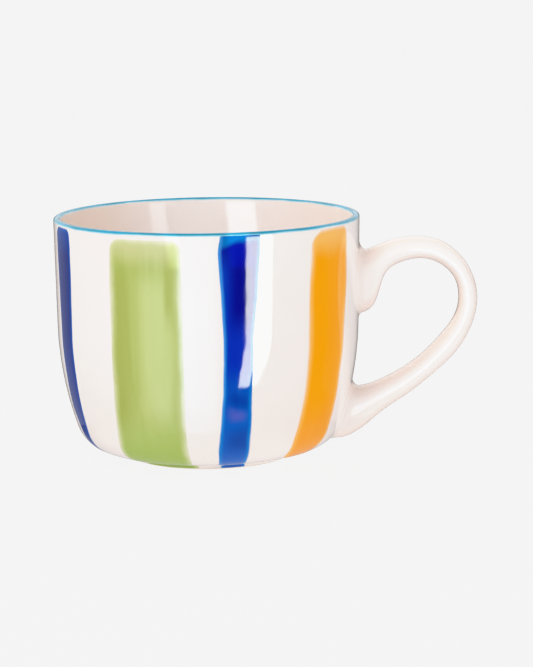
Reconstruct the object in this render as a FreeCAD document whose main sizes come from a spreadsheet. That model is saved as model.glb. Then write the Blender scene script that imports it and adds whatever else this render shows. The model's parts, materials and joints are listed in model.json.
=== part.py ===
import FreeCAD, Part
import math
import os

import Sketcher

# A ceramic mug with a looped strap handle and broad painted strokes, as a parametric document.
#
# The frame is in millimetres, +Z up. The origin is on the cup's axis, on the surface the mug stands on,
# and the handle points along +X. Angles about Z are counted from +X, anticlockwise seen from above.

V = FreeCAD.Vector
SAME_HEIGHT = 1e-4  # mm: edges closer than this to a height are at that height
HOLLOW_SHARE = 0.6  # a hollowed vessel keeps less than this share of its filled volume
ANY_ANGLE = 1  # degrees: keeps a rotation's axis until the sheet sets its angle

# ---------------------------------------------------------------- driving dimensions

SIZES = [
    # the outline of the glazed cup, from the foot to the rim
    ("mug_height", 79.5),
    ("outside_flat_radius", 27.0),
    ("outside_flat_height", 2.3),
    ("outside_slope", 5.5),
    ("outside_heel", 11.6),
    ("outside_belly", 110.0),
    ("outside_belly_height", 46.5),
    ("outside_draft", 1.0),
    ("outside_top", 50.0),
    # the outline of the drinking space, inside the glaze
    ("inside_flat_radius", 14.0),
    ("inside_flat_height", 7.0),
    ("inside_slope", 2.0),
    ("inside_heel", 15.0),
    ("inside_belly", 105.0),
    ("inside_belly_height", 48.0),
    ("inside_draft", 1.3),
    ("inside_top", 47.6),
    # glaze
    ("glaze", 0.4),
    ("glaze_lip_rounding", 1.15),
    ("clay_lip_rounding", 0.7),
    ("rim_band_bottom", 78.2),
    ("glaze_line_height", 0.5),
    # the bare clay foot ring
    ("foot_inner_radius", 23.6),
    ("foot_rounding", 0.7),
    # the slip that fills the corners between handle and wall
    ("slip_radius", 2.2),
    # how far a cutting shape reaches past what it cuts
    ("overshoot", 2.0),
]

# Each station of the handle is an oval across the strap: the strap's outer edge (x, z), its inner
# edge (x, z) and its width. The first and last lie inside the cup's wall.
HANDLE_STATIONS = [
    ("upper_root", 44.0, 65.0, 44.0, 45.4, 14.6),
    ("upper_joint", 50.0, 66.4, 50.0, 46.2, 14.0),
    ("upper_neck", 54.0, 67.8, 54.0, 48.4, 13.2),
    ("rise_start", 57.0, 69.0, 56.2, 53.6, 12.2),
    ("rise_end", 60.6, 70.3, 58.2, 59.2, 11.4),
    ("crown_start", 65.0, 71.1, 62.2, 62.4, 10.9),
    ("crown", 70.0, 71.2, 68.2, 64.0, 10.5),
    ("crown_end", 75.6, 70.1, 73.0, 63.6, 10.3),
    ("shoulder", 80.8, 67.0, 77.2, 61.6, 10.1),
    ("bend_start", 85.0, 62.4, 80.4, 58.4, 10.0),
    ("bend", 88.0, 55.6, 82.2, 54.0, 10.0),
    ("bend_end", 88.4, 48.0, 82.2, 48.4, 10.0),
    ("run_start", 86.2, 40.6, 80.4, 43.6, 10.2),
    ("run_high", 81.4, 32.8, 76.4, 38.4, 10.5),
    ("run_middle", 74.0, 25.8, 69.8, 31.8, 10.9),
    ("run_low", 65.4, 19.0, 62.2, 26.6, 11.4),
    ("lower_neck", 57.0, 13.4, 55.4, 23.3, 12.0),
    ("lower_joint", 50.6, 8.2, 50.4, 21.9, 12.8),
    ("lower_heel", 45.0, 5.1, 45.0, 21.6, 13.4),
    ("lower_root", 36.0, 5.0, 36.0, 21.2, 13.6),
]

# Each painted stroke runs from the foot up to its top: where it starts about Z, how far it goes
# and how high it reaches.
STROKES = [
    ("stroke_blue_left", 195.2, 13.4, 78.0),
    ("stroke_green_front", 231.8, 27.7, 76.6),
    ("stroke_blue_front", 274.4, 13.0, 78.2),
    ("stroke_orange_right", 310.8, 23.2, 78.0),
    ("stroke_blue_back_right", 27.4, 13.4, 78.0),
    ("stroke_green_back", 59.4, 27.2, 76.6),
    ("stroke_blue_back_left", 108.6, 13.0, 78.2),
    ("stroke_orange_back", 146.4, 23.2, 78.0),
]

doc = FreeCAD.newDocument("mug")
sheet = doc.addObject("Spreadsheet::Sheet", "dims")


def fill_sheet():
    """Put every driving dimension in the sheet, one row each: name in column A, value in column B."""
    rows = list(SIZES)
    for name, outer_x, outer_z, inner_x, inner_z, width in HANDLE_STATIONS:
        rows += [
            (name + "_outer_x", outer_x),
            (name + "_outer_z", outer_z),
            (name + "_inner_x", inner_x),
            (name + "_inner_z", inner_z),
            (name + "_width", width),
        ]
    for name, start, span, top in STROKES:
        rows += [(name + "_start", start), (name + "_span", span), (name + "_top", top)]
    for row, (alias, value) in enumerate(rows, start=1):
        sheet.set(f"A{row}", alias)
        sheet.set(f"B{row}", str(value))
        sheet.setAlias(f"B{row}", alias)
    doc.recompute()


def size(alias):
    """A driving dimension's value, read back from the sheet."""
    return float(getattr(sheet, alias))


def direction(degrees):
    """The unit vector at an angle in a sketch's plane."""
    return V(math.cos(math.radians(degrees)), math.sin(math.radians(degrees)), 0)


# ---------------------------------------------------------------- sketches


def new_body(label):
    """An empty body with its label."""
    body = doc.addObject("PartDesign::Body", label)
    body.Label = label
    return body


def new_sketch(body, role, name):
    """An empty sketch on one of the body's origin planes."""
    sketch = body.newObject("Sketcher::SketchObject", name)
    plane = next(item for item in body.Origin.OriginFeatures if item.Role == role)
    sketch.AttachmentSupport = [(plane, "")]
    sketch.MapMode = "FlatFace"
    return sketch


def bind(sketch, name, constraint, expression):
    """Add a named dimension to a sketch and drive it from the sheet."""
    index = sketch.addConstraint(constraint)
    sketch.renameConstraint(index, name)
    sketch.setExpression(f"Constraints.{name}", expression)


def outline_start(side, inset, top):
    """The solved places of an outline's corners and arc centres, as the sketch's starting point."""
    draft, slope = size(side + "_draft"), size(side + "_slope")
    belly, heel = size(side + "_belly"), size(side + "_heel")
    out, up = direction(-draft), direction(90 - draft)
    along, inward = direction(slope), direction(90 + slope)
    rim = V(size(side + "_top"), size("mug_height"), 0)
    centre_height = size(side + "_belly_height")
    tangent_height = centre_height + out.y * belly
    tangent = rim + up * ((tangent_height - rim.y) / up.y)
    belly_centre = tangent - out * belly
    foot = V(size(side + "_flat_radius"), size(side + "_flat_height"), 0)
    # the heel's centre lies on a line parallel to the slope, at belly - heel from the belly's centre
    from_belly = foot + inward * heel - belly_centre
    half = from_belly.dot(along)
    reach = math.sqrt(half**2 - from_belly.dot(from_belly) + (belly - heel) ** 2) - half
    heel_centre = foot + inward * heel + along * reach
    towards_heel = (heel_centre - belly_centre).normalize()
    return {
        "foot": foot + inward * inset,
        "heel_low": heel_centre - inward * (heel - inset),
        "heel_centre": heel_centre,
        "heel_high": belly_centre + towards_heel * (belly - inset),
        "belly_centre": belly_centre,
        "belly_high": belly_centre + out * (belly - inset),
        "top": rim - out * inset + up * ((top - rim.y + out.y * inset) / up.y),
        "heel_turn": math.atan2(towards_heel.y, towards_heel.x),
    }


def vessel_outline(body, name, side, inset, top):
    """Draw half of a vessel's section: flat, slope, heel, belly, drafted wall, level top and axis.

    inset moves the whole outline inwards by that many glaze thicknesses, or outwards if negative.
    top is the height of the level top, as an expression on the sheet.
    """
    sketch = new_sketch(body, "XZ_Plane", name)
    offset = f"{inset} * dims.glaze"
    shift = inset * size("glaze")
    sketch.addProperty("App::PropertyLength", "top_height")
    sketch.setExpression("top_height", top)
    doc.recompute()
    at = outline_start(side, shift, sketch.top_height.Value)
    belly, heel = size(side + "_belly") - shift, size(side + "_heel") - shift
    draft, slope = math.radians(size(side + "_draft")), math.radians(size(side + "_slope"))
    low, high = V(0, at["foot"].y, 0), V(0, at["top"].y, 0)
    up = V(0, 0, 1)
    flat, underside, heel_arc, belly_arc, wall, level, axis = range(7)
    sketch.addGeometry(
        [
            Part.LineSegment(low, at["foot"]),
            Part.LineSegment(at["foot"], at["heel_low"]),
            Part.ArcOfCircle(Part.Circle(at["heel_centre"], up, heel), slope - math.pi / 2, at["heel_turn"]),
            Part.ArcOfCircle(Part.Circle(at["belly_centre"], up, belly), at["heel_turn"], -draft),
            Part.LineSegment(at["belly_high"], at["top"]),
            Part.LineSegment(at["top"], high),
            Part.LineSegment(high, low),
        ]
    )
    start, end, centre = 1, 2, 3
    root, vertical = -1, -2
    sketch.addConstraint(
        [
            Sketcher.Constraint("Coincident", flat, end, underside, start),
            Sketcher.Constraint("Tangent", underside, end, heel_arc, start),
            Sketcher.Constraint("Tangent", heel_arc, end, belly_arc, start),
            Sketcher.Constraint("Tangent", belly_arc, end, wall, start),
            Sketcher.Constraint("Coincident", wall, end, level, start),
            Sketcher.Constraint("Coincident", level, end, axis, start),
            Sketcher.Constraint("Coincident", axis, end, flat, start),
            Sketcher.Constraint("Horizontal", flat),
            Sketcher.Constraint("Horizontal", level),
            Sketcher.Constraint("PointOnObject", axis, start, vertical),
            Sketcher.Constraint("PointOnObject", axis, end, vertical),
        ]
    )
    dims = f"dims.{side}"
    tilt = f"{dims}_draft * 1 deg"
    lean = f"{dims}_slope * 1 deg"
    bind(sketch, "slope", Sketcher.Constraint("Angle", underside, slope), lean)
    bind(sketch, "wall_angle", Sketcher.Constraint("Angle", wall, math.pi / 2 - draft), f"90 deg - {tilt}")
    bind(sketch, "heel_radius", Sketcher.Constraint("Radius", heel_arc, heel), f"{dims}_heel - {offset}")
    bind(sketch, "belly_radius", Sketcher.Constraint("Radius", belly_arc, belly), f"{dims}_belly - {offset}")
    bind(
        sketch,
        "flat_radius",
        Sketcher.Constraint("DistanceX", root, start, flat, end, at["foot"].x),
        f"{dims}_flat_radius - {offset} * sin({lean})",
    )
    bind(
        sketch,
        "flat_height",
        Sketcher.Constraint("DistanceY", root, start, flat, end, at["foot"].y),
        f"{dims}_flat_height + {offset} * cos({lean})",
    )
    bind(
        sketch,
        "top_radius",
        Sketcher.Constraint("DistanceX", root, start, wall, end, at["top"].x),
        f"{dims}_top - (dims.mug_height - ({top})) * tan({tilt}) - {offset} / cos({tilt})",
    )
    bind(
        sketch,
        "top_level",
        Sketcher.Constraint("DistanceY", root, start, wall, end, at["top"].y),
        top,
    )
    bind(
        sketch,
        "belly_height",
        Sketcher.Constraint("DistanceY", root, start, belly_arc, centre, at["belly_centre"].y),
        f"{dims}_belly_height",
    )
    return sketch


def revolve(body, sketch, kind, name):
    """Turn a sketch all the way round the cup's axis: kind is Revolution to add, Groove to remove."""
    feature = body.newObject(f"PartDesign::{kind}", name)
    feature.Profile = sketch
    feature.ReferenceAxis = (sketch, ["V_Axis"])
    feature.Angle = 360
    doc.recompute()
    return feature


def ring_edges(shape, height):
    """The names of the round edges at one height."""
    return [
        f"Edge{number}"
        for number, edge in enumerate(shape.Edges, start=1)
        if isinstance(edge.Curve, Part.Circle) and abs(edge.Curve.Center.z - height) < SAME_HEIGHT
    ]


def round_edges(body, height, radius, name):
    """Round all of a body's ring edges at one height, to a radius named in the sheet."""
    base = body.Tip
    fillet = body.newObject("PartDesign::Fillet", name)
    fillet.Base = (base, ring_edges(base.Shape, height))
    fillet.setExpression("Radius", f"dims.{radius}")
    doc.recompute()
    return fillet


# ---------------------------------------------------------------- the cup's own solids


def filled_vessel(label, side, inset, top):
    """The solid that fills one of the vessel outlines up to a level top."""
    body = new_body(label)
    sketch = vessel_outline(body, label + "_outline", side, inset, top)
    revolve(body, sketch, "Revolution", label + "_turned")
    return body


def hollow_vessel(label, inset, lip_rounding):
    """A turned cup: the outside outline less the inside one, with a rounded lip."""
    top = f"dims.mug_height - {inset} * dims.glaze"
    body = filled_vessel(label, "outside", inset, top)
    cavity = vessel_outline(body, label + "_cavity", "inside", -inset, "dims.mug_height + dims.overshoot")
    before = body.Shape.Volume
    revolve(body, cavity, "Groove", label + "_hollow")
    if body.Shape.Volume > HOLLOW_SHARE * before:
        raise RuntimeError(f"{label} is not hollow")
    round_edges(body, size("mug_height") - inset * size("glaze"), lip_rounding, label + "_lip")
    return body


def add_glaze_skirt(body):
    """The glaze that runs down the outside of the foot ring, to just above the ground."""
    sketch = new_sketch(body, "XY_Plane", "skirt_rings")
    sketch.setExpression("AttachmentOffset.Base.z", "dims.glaze_line_height")
    radii = {"skirt_outer": "dims.outside_flat_radius", "skirt_inner": "dims.outside_flat_radius - dims.glaze"}
    for index, (name, expression) in enumerate(radii.items()):
        radius = size("outside_flat_radius") - index * size("glaze")
        sketch.addGeometry(Part.Circle(V(0, 0, 0), V(0, 0, 1), radius))
        sketch.addConstraint(Sketcher.Constraint("Coincident", index, 3, -1, 1))
        bind(sketch, name, Sketcher.Constraint("Radius", index, radius), expression)
    pad = body.newObject("PartDesign::Pad", "skirt")
    pad.Profile = sketch
    pad.setExpression("Length", "dims.outside_flat_height + dims.glaze / 2 - dims.glaze_line_height")
    doc.recompute()


def foot_ring():
    """A square-cut ring of bare clay with both bottom edges rounded over."""
    body = new_body("foot_ring")
    sketch = new_sketch(body, "XZ_Plane", "foot_section")
    inner, outer = size("foot_inner_radius"), size("outside_flat_radius") - size("glaze")
    height = size("outside_flat_height") + size("glaze")
    corners = [V(inner, 0, 0), V(outer, 0, 0), V(outer, height, 0), V(inner, height, 0)]
    sides = len(corners)
    for index, corner in enumerate(corners):
        sketch.addGeometry(Part.LineSegment(corner, corners[(index + 1) % sides]))
    for index in range(sides):
        sketch.addConstraint(Sketcher.Constraint("Coincident", index, 2, (index + 1) % sides, 1))
        sketch.addConstraint(Sketcher.Constraint("Vertical" if index % 2 else "Horizontal", index))
    sketch.addConstraint(Sketcher.Constraint("PointOnObject", 0, 1, -1))
    bind(sketch, "inner", Sketcher.Constraint("DistanceX", -1, 1, 0, 1, inner), "dims.foot_inner_radius")
    bind(
        sketch,
        "outer",
        Sketcher.Constraint("DistanceX", -1, 1, 0, 2, outer),
        "dims.outside_flat_radius - dims.glaze",
    )
    bind(
        sketch,
        "height",
        Sketcher.Constraint("DistanceY", 1, 1, 1, 2, height),
        "dims.outside_flat_height + dims.glaze * cos(dims.outside_slope * 1 deg)",
    )
    revolve(body, sketch, "Revolution", "foot_turned")
    round_edges(body, 0, "foot_rounding", "foot_edges")
    return body


# ---------------------------------------------------------------- the handle's blanks


def handle_oval(body, station, inset):
    """One oval across the strap, its section standing square to the line from inner to outer edge."""
    sketch = new_sketch(body, "YZ_Plane", f"{body.Label}_{station}")
    edge = f"dims.{station}"
    rise, run = f"({edge}_outer_z - {edge}_inner_z)", f"({edge}_outer_x - {edge}_inner_x)"
    sketch.AttachmentOffset = FreeCAD.Placement(V(0, 0, 0), FreeCAD.Rotation(V(1, 0, 0), ANY_ANGLE))
    sketch.setExpression("AttachmentOffset.Base.y", f"({edge}_outer_z + {edge}_inner_z) / 2")
    sketch.setExpression("AttachmentOffset.Base.z", f"({edge}_outer_x + {edge}_inner_x) / 2")
    sketch.setExpression("AttachmentOffset.Rotation.Angle", f"90 deg - atan2({rise}; {run})")
    outer = V(size(station + "_outer_x"), size(station + "_outer_z"), 0)
    inner = V(size(station + "_inner_x"), size(station + "_inner_z"), 0)
    thickness = (outer - inner).Length - 2 * inset * size("glaze")
    width = size(station + "_width") - 2 * inset * size("glaze")
    thickness_size = f"sqrt({rise}^2 + {run}^2) - {2 * inset} * dims.glaze"
    width_size = f"{edge}_width - {2 * inset} * dims.glaze"
    # four quarter ellipses, of which the first starts on the strap's inner side in every station
    middle = V(0, 0, 0)
    quarter = math.pi / 2
    if thickness > width:
        oval = Part.Ellipse(V(0, thickness / 2, 0), V(-width / 2, 0, 0), middle)
        first, level = 2 * quarter, "Vertical"
        long_side, short_side = (thickness, thickness_size), (width, width_size)
    else:
        oval = Part.Ellipse(V(width / 2, 0, 0), V(0, thickness / 2, 0), middle)
        first, level = 3 * quarter, "Horizontal"
        long_side, short_side = (width, width_size), (thickness, thickness_size)
    corners = [first + quarter * index for index in range(5)]
    sketch.addGeometry([Part.ArcOfEllipse(oval, start, end) for start, end in zip(corners, corners[1:])])
    sketch.exposeInternalGeometry(0)
    long_axis, short_axis = 4, 5
    for arc in range(4):
        sketch.addConstraint(Sketcher.Constraint("Coincident", arc, 2, (arc + 1) % 4, 1))
        sketch.addConstraint(Sketcher.Constraint("Coincident", arc, 3, -1, 1))
    sketch.addConstraint(Sketcher.Constraint("Equal", 0, 1))
    sketch.addConstraint(Sketcher.Constraint("Equal", 0, 2))
    sketch.addConstraint(Sketcher.Constraint(level, long_axis))
    for arc, end, axis in ((0, 1, -2), (0, 2, -1), (1, 2, -2), (2, 2, -1)):
        sketch.addConstraint(Sketcher.Constraint("PointOnObject", arc, end, axis))
    bind(sketch, "long_side", Sketcher.Constraint("Distance", long_axis, long_side[0]), long_side[1])
    bind(sketch, "short_side", Sketcher.Constraint("Distance", short_axis, short_side[0]), short_side[1])
    return sketch


def handle_blank(label, inset):
    """The strap lofted through its stations, inset by that many glaze thicknesses all round."""
    body = new_body(label)
    ovals = [handle_oval(body, station[0], inset) for station in HANDLE_STATIONS]
    loft = body.newObject("PartDesign::AdditiveLoft", label + "_loft")
    loft.Profile = ovals[0]
    loft.Sections = ovals[1:]
    doc.recompute()
    return body


# ---------------------------------------------------------------- booleans


def boolean(kind, name, base, tool):
    """A labelled boolean of two shapes in the document."""
    result = doc.addObject(kind, name)
    result.Label = name
    result.Base = base
    result.Tool = tool
    result.Refine = False
    doc.recompute()
    if "Invalid" in result.State:
        raise RuntimeError(f"{name} failed")
    return result


def cut(name, base, tool):
    """What is left of base outside tool."""
    return boolean("Part::Cut", name, base, tool)


def common(name, base, tool):
    """What base and tool share."""
    return boolean("Part::Common", name, base, tool)


def disc(name, radius, bottom, height):
    """A plain cylinder on the axis, used to pick out a region."""
    region = doc.addObject("Part::Cylinder", name)
    region.setExpression("Radius", radius)
    region.setExpression("Height", height)
    region.setExpression("Placement.Base.z", bottom)
    doc.recompute()
    return region


def stroke_zone(stroke):
    """The wedge of space that a painted stroke covers."""
    zone = disc(stroke + "_zone", "dims.outside_top + dims.overshoot", "0", f"dims.{stroke}_top")
    zone.setExpression("Angle", f"dims.{stroke}_span")
    zone.Placement.Rotation = FreeCAD.Rotation(V(0, 0, 1), ANY_ANGLE)
    zone.setExpression("Placement.Rotation.Angle", f"dims.{stroke}_start * 1 deg")
    doc.recompute()
    return zone


def slip_fillets(wall, strap):
    """The solids that fill the corner between wall and strap to a radius, from the lowest up."""
    joined = wall.Shape.fuse(strap.Shape)
    corners = []
    for edge in joined.Edges:
        faces = joined.ancestorsOfType(edge, Part.Face)
        of_strap = [isinstance(face.Surface, Part.BSplineSurface) for face in faces]
        if any(of_strap) and not all(of_strap):
            corners.append(edge)
    slips = joined.makeFillet(size("slip_radius"), corners).cut(joined)
    return sorted(slips.Solids, key=lambda slip: slip.CenterOfMass.z)


# ---------------------------------------------------------------- the mug


def make_clay(pieces):
    """The fired clay: cup, foot ring and handle, whose ends land on the cup's clay wall."""
    pieces["cup_body"] = hollow_vessel("cup_body", 1, "clay_lip_rounding")
    pieces["foot_ring"] = foot_ring()
    filled = filled_vessel("filled_clay", "outside", 1, "dims.mug_height - dims.glaze")
    strap = handle_blank("clay_strap", 1)
    pieces["handle"] = cut("handle", strap, filled)
    return filled, strap


def make_handle_glaze(pieces, clay_strap):
    """The glaze on the strap, and the slip that fills the corners where the strap meets the wall."""
    filled = filled_vessel("filled_glazed", "outside", 0, "dims.mug_height")
    strap = handle_blank("glazed_strap", 0)
    pieces["handle_glaze"] = cut("handle_glaze", cut("strap_coat", strap, clay_strap), filled)
    for label, slip in zip(("handle_lower_slip", "handle_upper_slip"), slip_fillets(filled, strap)):
        pieces[label] = doc.addObject("Part::Feature", label)
        pieces[label].Shape = slip


def make_cup_glaze(pieces, filled_clay):
    """The glaze inside, round the lip, under the base and down the outside, with the painted strokes."""
    space = filled_vessel("drinking_space", "inside", 0, "dims.rim_band_bottom")
    cavity = filled_vessel("clay_cavity", "inside", -1, "dims.rim_band_bottom")
    pieces["inner_glaze"] = cut("inner_glaze", cavity, space)

    glazed_cup = hollow_vessel("glazed_cup", 0, "glaze_lip_rounding")
    coat = cut("cup_coat", glazed_cup, pieces["cup_body"])
    band_zone = disc("band_zone", "2 * dims.outside_top", "dims.rim_band_bottom", "dims.mug_height")
    pieces["rim_band"] = common("rim_band", coat, band_zone)

    outside = filled_vessel("glazed_outside", "outside", 0, "dims.mug_height")
    add_glaze_skirt(outside)
    skin = cut("skin_blank", outside, filled_clay)
    skin = cut("skin_below_band", skin, band_zone)
    skin = cut("skin_off_foot", skin, pieces["foot_ring"])
    base_zone = disc("base_zone", "dims.foot_inner_radius", "0", "2 * dims.outside_flat_height")
    pieces["base_glaze"] = common("base_glaze", skin, base_zone)
    skin = cut("side_skin", skin, base_zone)
    for stroke, *_ in STROKES:
        zone = stroke_zone(stroke)
        pieces[stroke] = common(stroke, skin, zone)
        skin = cut(f"skin_after_{stroke}", skin, zone)
    pieces["outer_glaze"] = cut("outer_glaze", skin, pieces["handle"])


def check_document(pieces):
    """Stop if any object failed to compute or any piece is not a valid solid under its own label."""
    for item in doc.Objects:
        if "Invalid" in item.State or "Error" in item.State:
            raise RuntimeError(f"{item.Name} failed: {item.State}")
    for label, piece in pieces.items():
        shape = piece.Shape
        if piece.Label != label or shape.isNull() or not shape.isValid() or not shape.Solids:
            raise RuntimeError(f"{label} has no valid solid of its own")


def write_parts(pieces):
    """Write each piece to a STEP file named after it."""
    os.makedirs("parts", exist_ok=True)
    for label, piece in pieces.items():
        piece.Shape.exportStep(os.path.join("parts", label + ".step"))
        print(f"{label:26s} {piece.Shape.Volume:10.2f} mm3 in {len(piece.Shape.Solids)} solid(s)")


fill_sheet()
PIECES = {}
FILLED_CLAY, CLAY_STRAP = make_clay(PIECES)
make_handle_glaze(PIECES, CLAY_STRAP)
make_cup_glaze(PIECES, FILLED_CLAY)
doc.recompute()
check_document(PIECES)
write_parts(PIECES)
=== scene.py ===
"""A ceramic mug with painted stripes: the finished looks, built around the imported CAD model.

Lengths are in millimetres inside this file and are turned into metres when a mesh is made.
"""

import json
import math

import bpy
import numpy as np
from mathutils import Matrix, Vector

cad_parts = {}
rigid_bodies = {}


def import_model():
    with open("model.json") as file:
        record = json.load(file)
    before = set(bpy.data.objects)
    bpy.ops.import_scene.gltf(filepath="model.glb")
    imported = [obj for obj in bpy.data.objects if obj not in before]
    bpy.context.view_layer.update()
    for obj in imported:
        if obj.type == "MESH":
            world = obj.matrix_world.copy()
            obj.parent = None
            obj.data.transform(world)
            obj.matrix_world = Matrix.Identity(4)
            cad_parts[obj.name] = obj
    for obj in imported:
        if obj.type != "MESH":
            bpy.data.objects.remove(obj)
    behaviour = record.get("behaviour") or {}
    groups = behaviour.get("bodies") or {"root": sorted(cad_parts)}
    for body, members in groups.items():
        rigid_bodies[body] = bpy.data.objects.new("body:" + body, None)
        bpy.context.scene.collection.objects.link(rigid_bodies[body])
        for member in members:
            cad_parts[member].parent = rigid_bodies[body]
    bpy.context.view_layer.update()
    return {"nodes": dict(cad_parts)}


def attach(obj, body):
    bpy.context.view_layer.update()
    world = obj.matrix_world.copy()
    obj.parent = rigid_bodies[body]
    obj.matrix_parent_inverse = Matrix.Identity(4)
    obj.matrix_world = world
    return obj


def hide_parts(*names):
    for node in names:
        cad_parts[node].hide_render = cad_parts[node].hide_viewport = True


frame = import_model()

MM = 0.001

# ---------------------------------------------------------------- sizes, the same as the CAD model's

MUG_HEIGHT = 79.5
OUTSIDE = dict(flat_radius=27.0, flat_height=2.3, slope=5.5, heel=11.6,
               belly=110.0, belly_height=46.5, draft=1.0, top=50.0)
INSIDE = dict(flat_radius=14.0, flat_height=7.0, slope=2.0, heel=15.0,
              belly=105.0, belly_height=48.0, draft=1.3, top=47.6)
GLAZE = 0.4                 # thickness of the glaze skins
LIP_ROUNDING = 1.15
RIM_LINE_OUTSIDE = 78.3     # height of the painted rim line's edge on the outside
RIM_LINE_INSIDE = 78.9
RIM_LINE_THINNED = 0.3      # the paint stops this far short of that edge outside
RIM_SKIN_OUTSIDE = 77.4     # heights where the lip's piece of glaze ends
RIM_SKIN_INSIDE = 77.8
WALL_SKIN_TOP = 78.0        # the wall's glaze ends here, under the lip's piece
GLAZE_LINE = 0.5            # the foot is bare clay below this height
FOOT_INNER_RADIUS = 23.6
FOOT_HEIGHT = 2.3
POOL_RADIUS = 0.9           # glaze pooled in the corner between foot and body

TURNS = 384                 # segments round the cup
STEP = 0.8                  # spacing of the rings on the walls

# name, outer x and z, inner x and z, width across
HANDLE_STATIONS = [
    ("upper_root", 44.0, 65.0, 44.0, 45.4, 14.6),
    ("upper_joint", 50.0, 66.4, 50.0, 46.2, 14.0),
    ("upper_neck", 54.0, 67.8, 54.0, 48.4, 13.2),
    ("rise_start", 57.0, 69.0, 56.2, 53.6, 12.2),
    ("rise_end", 60.6, 70.3, 58.2, 59.2, 11.4),
    ("crown_start", 65.0, 71.1, 62.2, 62.4, 10.9),
    ("crown", 70.0, 71.2, 68.2, 64.0, 10.5),
    ("crown_end", 75.6, 70.1, 73.0, 63.6, 10.3),
    ("shoulder", 80.8, 67.0, 77.2, 61.6, 10.1),
    ("bend_start", 85.0, 62.4, 80.4, 58.4, 10.0),
    ("bend", 88.0, 55.6, 82.2, 54.0, 10.0),
    ("bend_end", 88.4, 48.0, 82.2, 48.4, 10.0),
    ("run_start", 86.2, 40.6, 80.4, 43.6, 10.2),
    ("run_high", 81.4, 32.8, 76.4, 38.4, 10.5),
    ("run_middle", 74.0, 25.8, 69.8, 31.8, 10.9),
    ("run_low", 65.4, 19.0, 62.2, 26.6, 11.4),
    ("lower_neck", 57.0, 13.4, 55.4, 23.3, 12.0),
    ("lower_joint", 50.6, 8.2, 50.4, 21.9, 12.8),
    ("lower_heel", 45.0, 5.1, 45.0, 21.6, 13.4),
    ("lower_root", 36.0, 5.0, 36.0, 21.2, 13.6),
]

# ---------------------------------------------------------------- outlines in (radius, height)


def direction(degrees):
    return np.array([math.cos(math.radians(degrees)), math.sin(math.radians(degrees))])


def arc(centre, radius, start, end, step=STEP):
    """Points on an arc from one angle to another, both ends included."""
    count = max(2, int(abs(math.radians(end - start)) * radius / step) + 1)
    return [centre + radius * direction(a) for a in np.linspace(start, end, count + 1)]


def line(a, b, step=STEP):
    count = max(1, int(np.linalg.norm(b - a) / step))
    return [a + (b - a) * t for t in np.linspace(0, 1, count + 1)]


def vessel_outline(side):
    """The curve from the flat bottom's end, over slope, heel and belly, up the straight wall to the rim."""
    out = direction(-side["draft"])
    up = direction(90 - side["draft"])
    along = direction(side["slope"])
    inward = direction(90 + side["slope"])
    foot = np.array([side["flat_radius"], side["flat_height"]])
    rim = np.array([side["top"], MUG_HEIGHT])
    tangent_height = side["belly_height"] + out[1] * side["belly"]
    tangent = rim + up * (tangent_height - rim[1]) / up[1]
    belly_centre = tangent - out * side["belly"]
    from_belly = foot + inward * side["heel"] - belly_centre
    half = from_belly @ along
    reach = math.sqrt(half ** 2 - from_belly @ from_belly + (side["belly"] - side["heel"]) ** 2) - half
    heel_centre = foot + inward * side["heel"] + along * reach
    to_heel = heel_centre - belly_centre
    turn = math.degrees(math.atan2(to_heel[1], to_heel[0]))
    heel_low = heel_centre - inward * side["heel"]
    below_lip = rim - up * LIP_ROUNDING / up[1]
    points = line(foot, heel_low)
    points += arc(heel_centre, side["heel"], side["slope"] - 90, turn)[1:]
    points += arc(belly_centre, side["belly"], turn, -side["draft"])[1:]
    points += line(tangent, below_lip)[1:]
    return points


def pooled_corner(foot_side, corner, after, radius):
    """Rounds the inner corner between the foot's side and the slope above it."""
    first = (foot_side - corner) / np.linalg.norm(foot_side - corner)
    second = (after - corner) / np.linalg.norm(after - corner)
    a = corner + first * radius
    b = corner + second * radius
    return [a * (1 - t) ** 2 + 2 * corner * t * (1 - t) + b * t ** 2 for t in np.linspace(0, 1, 7)]


def cup_outline():
    """The whole outside from the glaze line on the foot to just below the lip."""
    wall = vessel_outline(OUTSIDE)
    corner = wall[0]
    glaze_line = np.array([corner[0], GLAZE_LINE])
    pooled = pooled_corner(glaze_line, corner, wall[1], POOL_RADIUS)
    side = line(glaze_line, pooled[0], 0.4)
    beyond = [p for p in wall[1:] if np.linalg.norm(p - corner) > POOL_RADIUS * 1.05]
    lip = np.array([OUTSIDE["top"] - LIP_ROUNDING, MUG_HEIGHT - LIP_ROUNDING])
    over = arc(lip, LIP_ROUNDING, -OUTSIDE["draft"], 60, 0.2)
    return side[:-1] + pooled + beyond + over[1:]


def lip_outline():
    """Over the lip, from just below it on the outside to just below it on the inside."""
    outer = np.array([OUTSIDE["top"] - LIP_ROUNDING, MUG_HEIGHT - LIP_ROUNDING])
    inner = np.array([INSIDE["top"] + LIP_ROUNDING, MUG_HEIGHT - LIP_ROUNDING])
    fine = 0.12
    return arc(outer, LIP_ROUNDING, -OUTSIDE["draft"], 90, fine) + \
        arc(inner, LIP_ROUNDING, 90, 180 + INSIDE["draft"], fine)


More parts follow.
